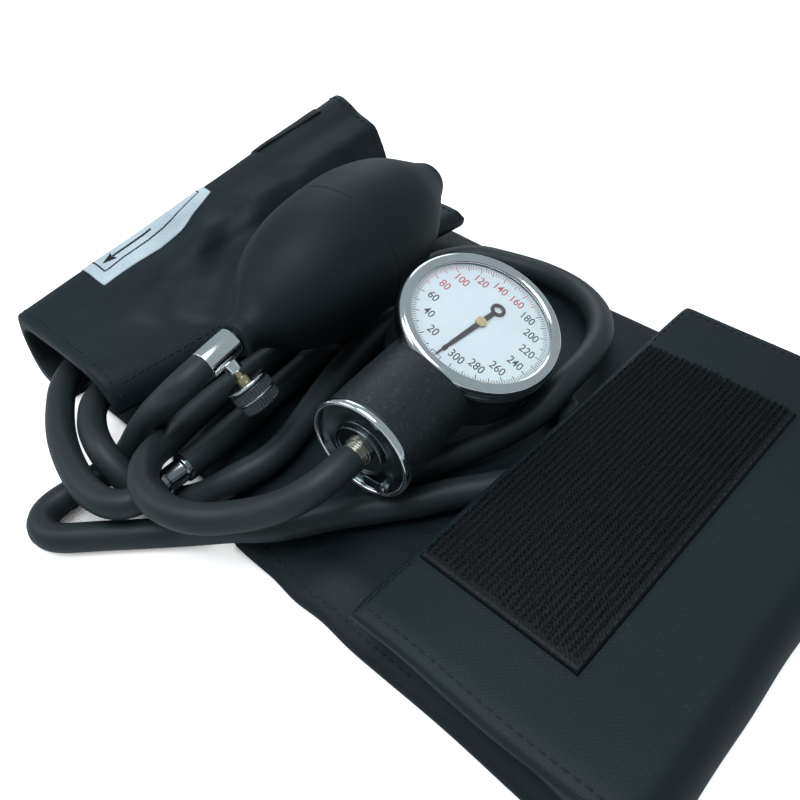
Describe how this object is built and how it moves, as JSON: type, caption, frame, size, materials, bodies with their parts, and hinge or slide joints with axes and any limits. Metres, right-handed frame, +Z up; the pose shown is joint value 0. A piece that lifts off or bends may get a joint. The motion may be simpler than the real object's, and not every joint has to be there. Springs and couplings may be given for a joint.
{
  "type": "aneroid sphygmomanometer",
  "caption": "Blood pressure set: a folded cloth arm cuff with a hook patch, a rubber squeeze bulb with a screw release valve, a round dial gauge and looped rubber hoses.",
  "frame": {"origin": "centre of the folded cuff's footprint, on the surface it lies on", "axes": "+X along the cuff from the rolled end to the hook patch end, +Y across the cuff towards the far side, +Z up"},
  "size_m": [0.243, 0.1897, 0.0663],
  "materials": {
    "cuff_cloth": "fine black twill nylon",
    "hook_tape": "dense hook tape",
    "label_print": "grey woven label",
    "tag_weave": "dark woven tag",
    "bladder_rubber": "smooth",
    "hose_rubber": "matte extruded rubber",
    "bulb_rubber": "matte moulded rubber",
    "chrome": "polished",
    "case_black": "satin black",
    "barrel_black": "wrinkle black",
    "lens_clear": "clear",
    "dial_paint": "pale blue white with printed scale",
    "pointer_paint": "satin black",
    "brass": "turned",
    "steel": "brushed",
    "seal_rubber": "smooth",
    "valve_plastic": "matte black"
  },
  "bodies": {
    "cuff_set": {"cuff_base": "cuff_cloth", "cuff_left_flap": "cuff_cloth", "cuff_right_fold": "cuff_cloth", "hook_patch": "hook_tape", "artery_label": "label_print", "woven_tag": "tag_weave", "bladder": "bladder_rubber", "gauge_hose": "hose_rubber", "bulb_hose": "hose_rubber", "cuff_tube": "hose_rubber", "tube_connector": "chrome", "bulb_shell": "bulb_rubber", "end_valve_body": "valve_plastic", "inlet_filter": "brass", "valve_body": "chrome", "gauge_case": "case_black", "bezel_ring": "chrome", "crystal_lens": "lens_clear", "dial_plate": "dial_paint", "front_plate": "brass", "back_plate": "brass", "hairspring": "steel", "gauge_barrel": "barrel_black", "barrel_end_ring": "chrome", "barrel_end_plate": "chrome", "inlet_barb": "chrome", "end_plate_screw": "steel", "bellows": "brass", "gauge_clip": "steel", "movement_posts": "brass", "movement_screws": "steel"},
    "sector": {"sector_gear": "brass"},
    "pointer_body": {"pointer": "pointer_paint", "pointer_hub": "brass", "pinion_shaft": "brass"},
    "rod": {"push_rod": "steel"},
    "seal": {"needle_seal": "seal_rubber"},
    "knob": {"valve_knob": "steel", "knob_ring": "chrome", "valve_needle": "brass"},
    "ball": {"check_ball": "steel"}
  },
  "joints": [
    {"name": "sector_turn", "type": "hinge", "parent": "cuff_set", "child": "sector", "pos_m": [0.01124, 0.01594, 0.04542], "axis": [0.4131, 0.052, 0.9092], "range_deg": [0, 34.5], "stiffness_Nm_per_rad": 0.0008},
    {"name": "pointer_turn", "type": "hinge", "parent": "cuff_set", "child": "pointer_body", "pos_m": [0.0164, 0.0033, 0.0438], "axis": [-0.4131, -0.052, -0.9092], "range_deg": [0, 345]},
    {"name": "rod_slide", "type": "slide", "parent": "cuff_set", "child": "rod", "axis": [-0.1181, 0.993, -0.0032], "range_m": [0, 0.0024]},
    {"name": "knob_turn", "type": "hinge", "parent": "seal", "child": "knob", "pos_m": [-0.03155, -0.05093, 0.04308], "axis": [0.589, 0.1609, -0.792], "range_deg": [0, 720]},
    {"name": "knob_lift", "type": "slide", "parent": "cuff_set", "child": "seal", "axis": [0.589, 0.1609, -0.792], "range_m": [0, 0.0014]},
    {"name": "ball_lift", "type": "slide", "parent": "cuff_set", "child": "ball", "axis": [0.1788, -0.9839, 0], "range_m": [0, 0.0008]}
  ],
  "couplings": [
    {"joint": "pointer_turn", "follows": "sector_turn", "ratio": 10},
    {"joint": "rod_slide", "follows": "sector_turn", "m_per_rad": 0.0039398},
    {"joint": "knob_lift", "follows": "knob_turn", "m_per_rad": 0.00011141}
  ]
}
